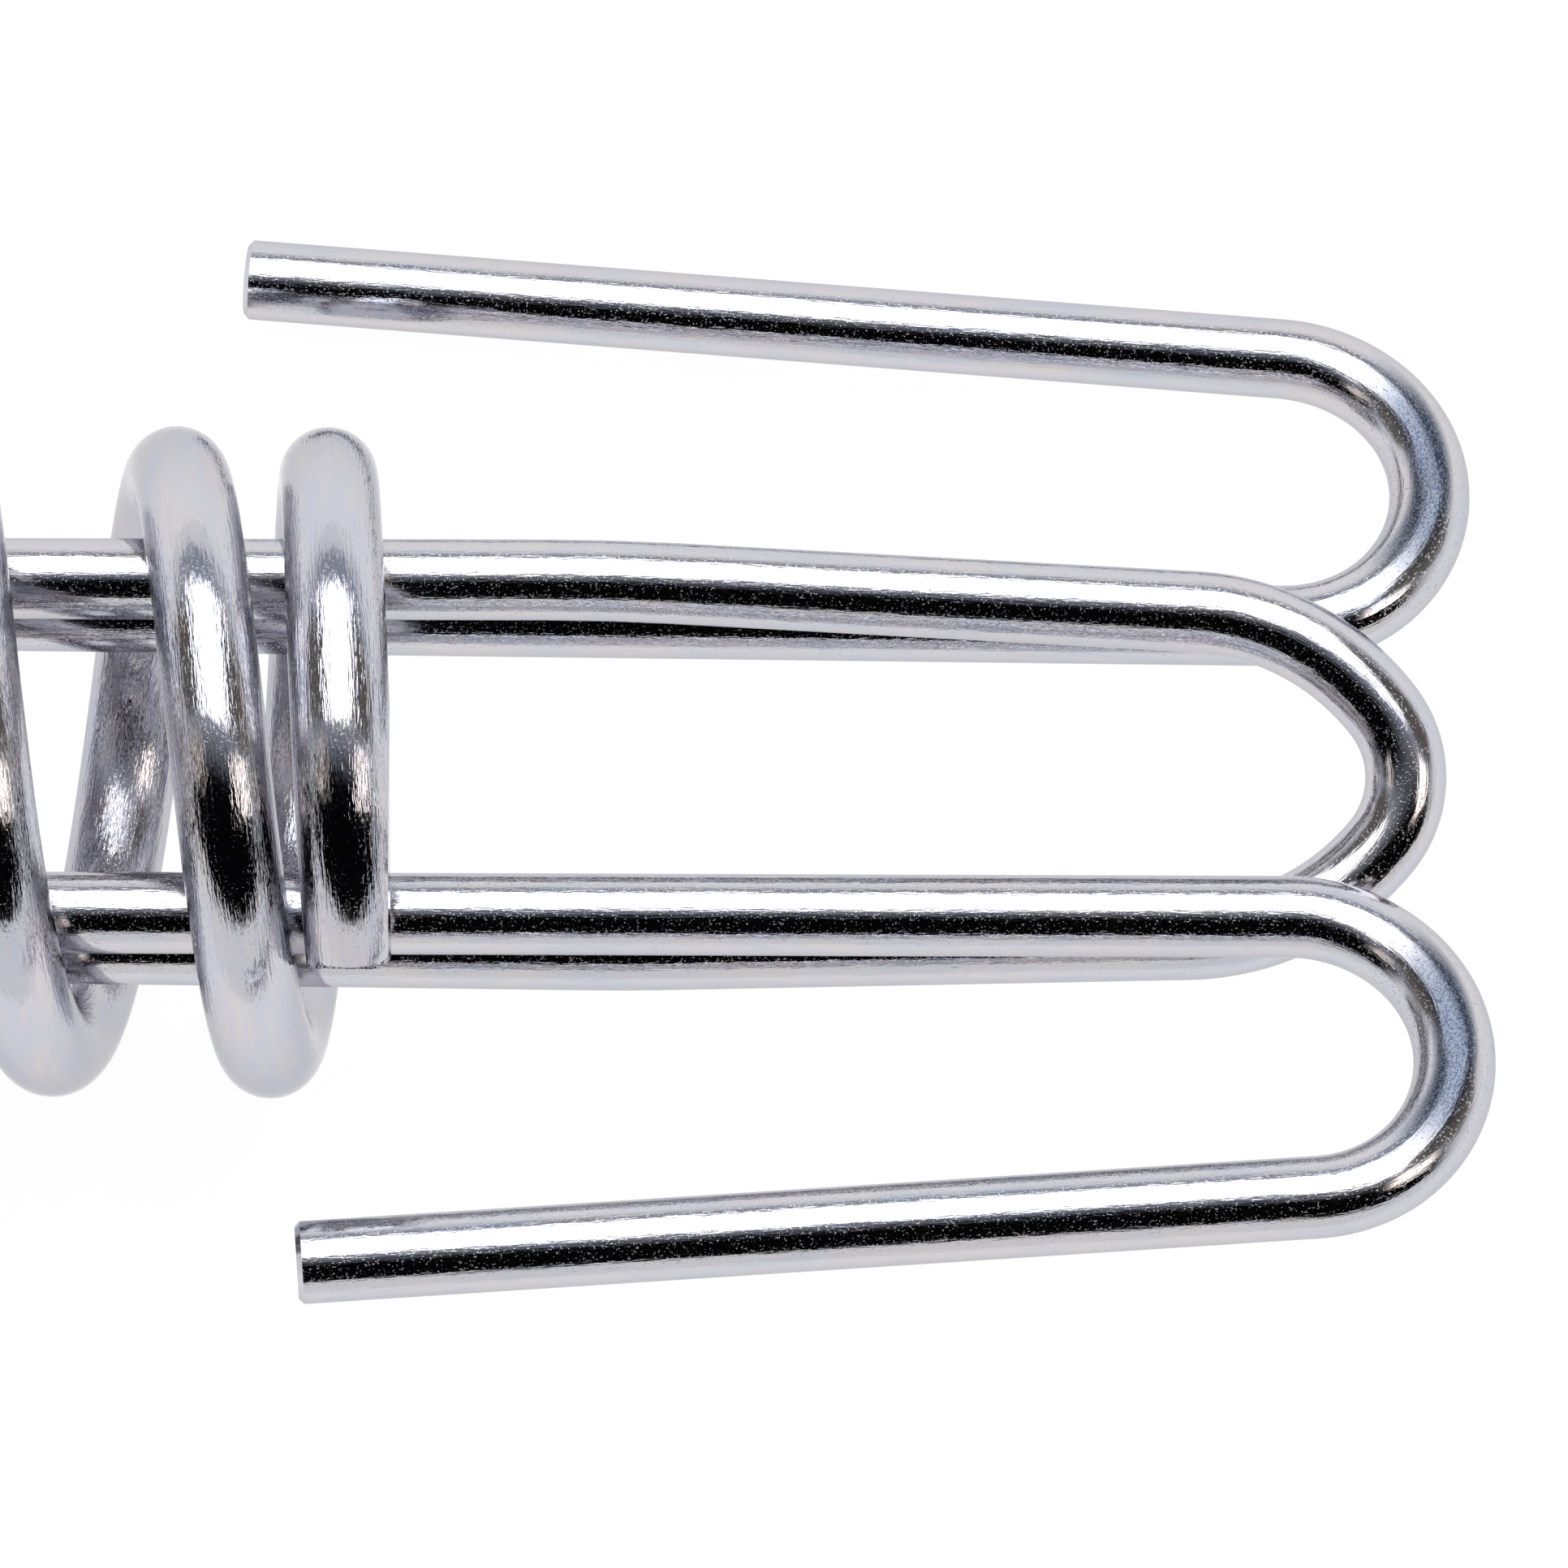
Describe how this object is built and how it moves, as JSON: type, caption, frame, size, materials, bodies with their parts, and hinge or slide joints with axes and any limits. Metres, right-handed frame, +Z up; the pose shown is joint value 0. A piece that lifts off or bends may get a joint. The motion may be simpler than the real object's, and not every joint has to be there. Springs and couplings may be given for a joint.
{
  "type": "drawbar spring",
  "caption": "Drawbar compression spring: a steel coil with two interlocked bent-wire yokes, each with an eye at one end and two hooks at the other.",
  "frame": {"origin": "under the middle of the coil, on the surface that the spring lies on", "axes": "+X along the coil's axis towards the right eye, +Y across, +Z up"},
  "size_m": [0.2018, 0.0595, 0.0326],
  "materials": {
    "zinc_coil": "bright zinc plated spring steel, drawn wire with faint die lines and a bluish tint",
    "zinc_yoke": "bright zinc plated steel wire, polished by drawing, with fine pits"
  },
  "bodies": {
    "left_eye_yoke": {"left_yoke_eye": "zinc_yoke", "left_yoke_long_hook": "zinc_yoke", "left_yoke_short_hook": "zinc_yoke"},
    "coil_spring": {"coil_spring": "zinc_coil"},
    "right_eye_yoke": {"right_yoke_eye": "zinc_yoke", "right_yoke_long_hook": "zinc_yoke", "right_yoke_short_hook": "zinc_yoke"}
  },
  "joints": [
    {"name": "coil_slide", "type": "slide", "parent": "left_eye_yoke", "child": "coil_spring", "axis": [1, 0, 0], "range_m": [-0.045, 0.0475]},
    {"name": "yoke_slide", "type": "slide", "parent": "coil_spring", "child": "right_eye_yoke", "axis": [1, 0, 0], "range_m": [0, 0.0885], "deforming": ["coil_spring"]}
  ]
}
